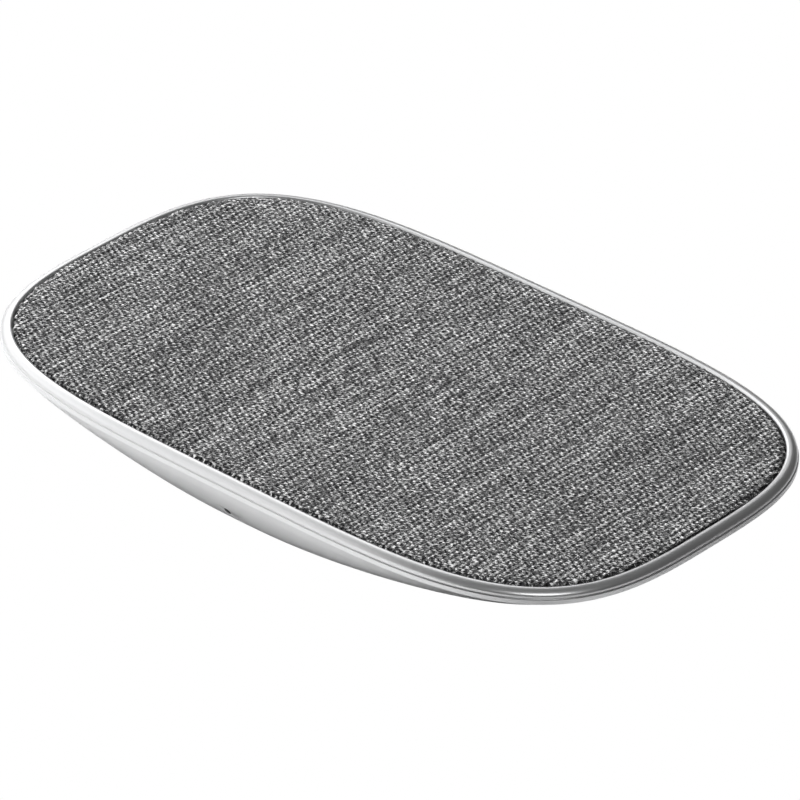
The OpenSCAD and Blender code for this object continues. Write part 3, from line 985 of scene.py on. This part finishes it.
class PAD_OT_lens(bpy.types.Operator):
    """Builds the smoked lens of the status light, flush with the hull"""

    bl_idname = "pad.lens"
    bl_label = "Status Lens"

    def execute(self, context):
        tray = context.scene.tray_sizes
        band = LIP_LEVEL - tray.bead_height - tray.band_height
        radius = LENS_SHARE * tray.light_bore
        x = (LIGHT_HIGH[0] + LIGHT_LOW[0]) / 2
        t = np.arange(32) * 2 * math.pi / 32
        rings = []

        # The inner end is flat; the outer rings follow the hull, the last a little proud of it
        for reach, inwards in ((radius, None), (radius, 0.06 * MM), (0.8 * radius, -0.04 * MM)):
            x_points = x + reach * np.cos(t)
            points = np.column_stack([x_points, np.full(32, LIGHT_HIGH[1]), LIGHT_LEVEL + reach * np.sin(t)])
            if inwards:
                down = (band - points[:, 2]) / (band - UNDERSIDE_LEVEL)
                slope = 1 - np.cos(np.arcsin(down ** (tray.hull_bulge / 2))) ** (2 / tray.hull_bulge)
                points[:, 1] = tray.side_slope * slope - SHELL_HIGH[1] + inwards
            rings.append(points)
        finish = moulded("smoked_lens", (0.004, 0.004, 0.005), 0.2 * MM, 0.001 * MM, 0.3)
        finish.node_tree.nodes["Principled BSDF"].inputs["Specular IOR Level"].default_value = 0.1
        made = mesh_object("status_lens", [loft(rings)], finish)
        adopt(made, "smoked_lens", "light_pipe")
        return {"FINISHED"}


class PAD_OT_foot(bpy.types.Operator):
    """Builds the rubber foot with a rounded edge"""

    bl_idname = "pad.foot"
    bl_label = "Foot"

    def execute(self, context):
        tray = context.scene.tray_sizes
        half_l = SHELL_HIGH[0] - tray.end_slope
        half_w = SHELL_HIGH[1] - tray.side_slope
        inset = tray.recess_margin + 0.1 * MM
        edge = 0.3 * MM

        def under(extra, level):
            q = tray.base_squareness
            return ring(outline(half_l, half_w, q, q, inset + extra, 256), level)

        rings = [under(edge * (1 - math.sin(a)), PAD_LOW[2] + edge * (1 - math.cos(a))) for a in quarter(6)]
        rings += [under(0.0, PAD_HIGH[2])]
        made = mesh_object("rubber_foot", [loft(rings)], rubber_foot(context.scene.finishes.rubber))
        adopt(made, "dark_rubber", "base_pad")
        return {"FINISHED"}


class PAD_OT_insides(bpy.types.Operator):
    """Gives the parts inside the tray their finishes"""

    bl_idname = "pad.insides"
    bl_label = "Insides"

    def execute(self, context):
        board = circuit_board()
        plastic = moulded("black_plastic", (0.018, 0.018, 0.02), 0.25 * MM, 0.02 * MM, 0.55)
        steel = moulded("plated_steel", (0.62, 0.63, 0.65), 0.2 * MM, 0.002 * MM, 0.28, 0.05, 1.0)
        film = moulded("clear_film", (0.78, 0.74, 0.62), 0.6 * MM, 0.005 * MM, 0.35)
        epoxy = moulded("chip_black", (0.02, 0.02, 0.022), 0.12 * MM, 0.01 * MM, 0.6)
        ceramic = moulded("ceramic_tan", (0.42, 0.30, 0.18), 0.15 * MM, 0.005 * MM, 0.4)
        copper = moulded("copper_wire", (0.78, 0.34, 0.16), 0.1 * MM, 0.02 * MM, 0.3, 0.1, 1.0, 0.5)
        gold = moulded("gold_contacts", (0.90, 0.66, 0.25), 0.1 * MM, 0.001 * MM, 0.22, 0.04, 1.0)
        finishes = {
            "fabric_adhesive": film,
            "base_adhesive": film,
            "coil_tape": film,
            "top_plate": plastic,
            "coil_tray": plastic,
            "usb_tongue": plastic,
            "base_screws": steel,
            "board_screws": steel,
            "tray_screws": steel,
            "usb_shell": steel,
            "crystal": steel,
            "main_board": board,
            "led_board": board,
            "controller_chip": epoxy,
            "power_mosfets": epoxy,
            "power_inductor": epoxy,
            "chip_resistors": epoxy,
            "thermistor": epoxy,
            "resonant_capacitors": ceramic,
            "input_capacitors": ceramic,
            "charging_coil": copper,
            "coil_leads": copper,
            "usb_contacts": gold,
            "ferrite_disc": moulded("grey_ferrite", (0.05, 0.05, 0.054), 0.3 * MM, 0.02 * MM, 0.5),
            "shield_plate": moulded("thin_shield", (0.80, 0.80, 0.81), 0.4 * MM, 0.004 * MM, 0.3, 0.04, 1.0),
            "status_led": moulded("white_led", (0.8, 0.76, 0.6), 0.1 * MM, 0.002 * MM, 0.35),
            "led_leads": moulded("red_insulation", (0.45, 0.02, 0.015), 0.3 * MM, 0.004 * MM, 0.45),
            "thermal_pad": moulded("thermal_blue", (0.35, 0.55, 0.70), 0.2 * MM, 0.02 * MM, 0.65),
        }
        for node, finish in finishes.items():
            set_finish(node, finish)
        return {"FINISHED"}


class PAD_PT_panel(bpy.types.Panel):
    """Lists the pad's sizes, colours and builders"""

    bl_label = "Charging Pad"
    bl_idname = "PAD_PT_panel"
    bl_space_type = "VIEW_3D"
    bl_region_type = "UI"
    bl_category = "Charging Pad"

    def draw(self, context):
        for group, title in GROUPS:
            box = self.layout.box()
            box.label(text=title)
            settings = getattr(context.scene, group)
            for name in type(settings).__annotations__:
                box.prop(settings, name)
        for operator in OPERATORS:
            self.layout.operator(operator.bl_idname)


GROUPS = (
    ("tray_sizes", "Tray"),
    ("cloth_sizes", "Cloth"),
    ("finishes", "Finishes"),
    ("stage_sizes", "Stage"),
)
OPERATORS = (PAD_OT_stage, PAD_OT_tray, PAD_OT_cloth, PAD_OT_lens, PAD_OT_foot, PAD_OT_insides)
CLASSES = (TraySizes, ClothSizes, Finishes, StageSizes, *OPERATORS, PAD_PT_panel)


def register():
    for made in CLASSES:
        bpy.utils.register_class(made)
    bpy.types.Scene.tray_sizes = PointerProperty(type=TraySizes)
    bpy.types.Scene.cloth_sizes = PointerProperty(type=ClothSizes)
    bpy.types.Scene.finishes = PointerProperty(type=Finishes)
    bpy.types.Scene.stage_sizes = PointerProperty(type=StageSizes)


def unregister():
    for group, _ in GROUPS:
        delattr(bpy.types.Scene, group)
    for made in reversed(CLASSES):
        bpy.utils.unregister_class(made)


def main():
    register()
    bpy.ops.pad.stage()
    bpy.ops.pad.tray()
    bpy.ops.pad.cloth()
    bpy.ops.pad.lens()
    bpy.ops.pad.foot()
    bpy.ops.pad.insides()


if __name__ == "__main__":
    main()
